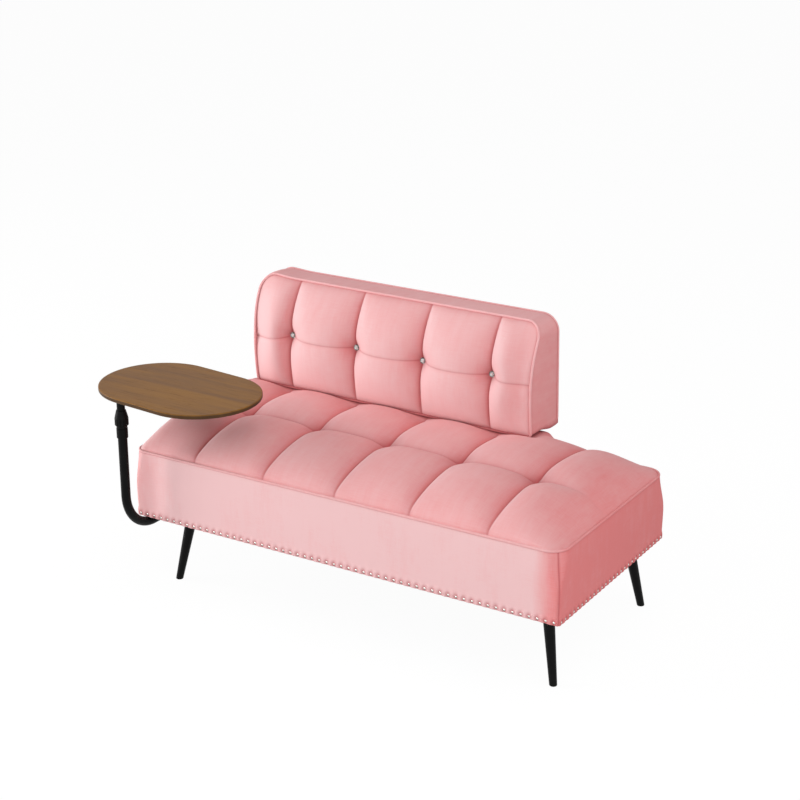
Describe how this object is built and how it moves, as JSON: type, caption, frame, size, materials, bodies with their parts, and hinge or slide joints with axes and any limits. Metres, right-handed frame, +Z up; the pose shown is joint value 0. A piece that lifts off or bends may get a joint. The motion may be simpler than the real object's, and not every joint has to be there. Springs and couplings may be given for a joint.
{
  "type": "two-seater sofa with side table",
  "caption": "Armless two-seater sofa with a tufted velvet seat, a part-width buttoned backrest, splayed metal legs and an oval side table that swivels and lifts on a bent tube.",
  "frame": {"origin": "middle of the overall box, at floor level under the legs", "axes": "+X along the seat to the right as seen from the front, +Y from the front edge to the backrest, +Z up"},
  "size_m": [1.39, 0.779, 0.773],
  "materials": {
    "velvet": "pink short-pile velvet over foam",
    "dust_fabric": "black non-woven cloth",
    "frame_timber": "planed softwood",
    "plywood": "plain plywood",
    "walnut": "satin walnut veneer",
    "black_steel": "satin black powder coat",
    "black_plastic": "moulded black",
    "zinc_steel": "zinc plated",
    "pewter": "pewter dome head",
    "silver_rim": "polished",
    "crystal": "cut and clear"
  },
  "bodies": {
    "sofa": {"arm_bolts": "zinc_steel", "arm_end_plug": "black_plastic", "arm_inserts": "zinc_steel", "arm_saddles": "black_plastic", "arm_tube": "black_steel", "back_board": "plywood", "back_bottom_rail": "frame_timber", "back_bracket_left": "black_steel", "back_bracket_right": "black_steel", "back_front_pad": "velvet", "back_gusset": "velvet", "back_left_stile": "frame_timber", "back_middle_rail": "frame_timber", "back_piping_front": "velvet", "back_piping_rear": "velvet", "back_rear_pad": "velvet", "back_right_stile": "frame_timber", "back_top_rail": "frame_timber", "bracket_bolts": "zinc_steel", "bracket_nuts": "zinc_steel", "bracket_screws": "zinc_steel", "bracket_spacers": "zinc_steel", "button_crystals": "crystal", "button_rims": "silver_rim", "collet_sleeve": "black_plastic", "corner_block_front_left": "frame_timber", "corner_block_front_right": "frame_timber", "corner_block_rear_left": "frame_timber", "corner_block_rear_right": "frame_timber", "cross_rail_left": "frame_timber", "cross_rail_right": "frame_timber", "dust_cover": "dust_fabric", "foot_glides": "black_plastic", "front_border": "velvet", "front_rail": "frame_timber", "left_border": "velvet", "left_end_rail": "frame_timber", "leg_front_left": "black_steel", "leg_front_right": "black_steel", "leg_rear_left": "black_steel", "leg_rear_right": "black_steel", "leg_screws": "zinc_steel", "nailheads_front": "pewter", "nailheads_left": "pewter", "nailheads_right": "pewter", "rear_border": "velvet", "rear_rail": "frame_timber", "right_border": "velvet", "right_end_rail": "frame_timber", "seat_cushion": "velvet", "seat_deck": "plywood", "seat_piping": "velvet"},
    "clamp": {"clamp_nut": "black_plastic"},
    "post": {"table_post": "black_steel", "post_foot_plug": "black_plastic"},
    "table": {"swivel_flange": "black_steel", "flange_screws": "zinc_steel", "table_top": "walnut"}
  },
  "joints": [
    {"name": "clamp_twist", "type": "hinge", "parent": "sofa", "child": "clamp", "pos_m": [-0.5767, -0.3217, 0.5], "axis": [0, 0, 1], "range_deg": [0, 180]},
    {"name": "table_lift", "type": "slide", "parent": "sofa", "child": "post", "axis": [0, 0, 1], "range_m": [-0.028, 0.1]},
    {"name": "table_swivel", "type": "hinge", "parent": "post", "child": "table", "pos_m": [-0.5767, -0.3217, 0.576], "axis": [0, 0, 1], "continuous": true}
  ]
}
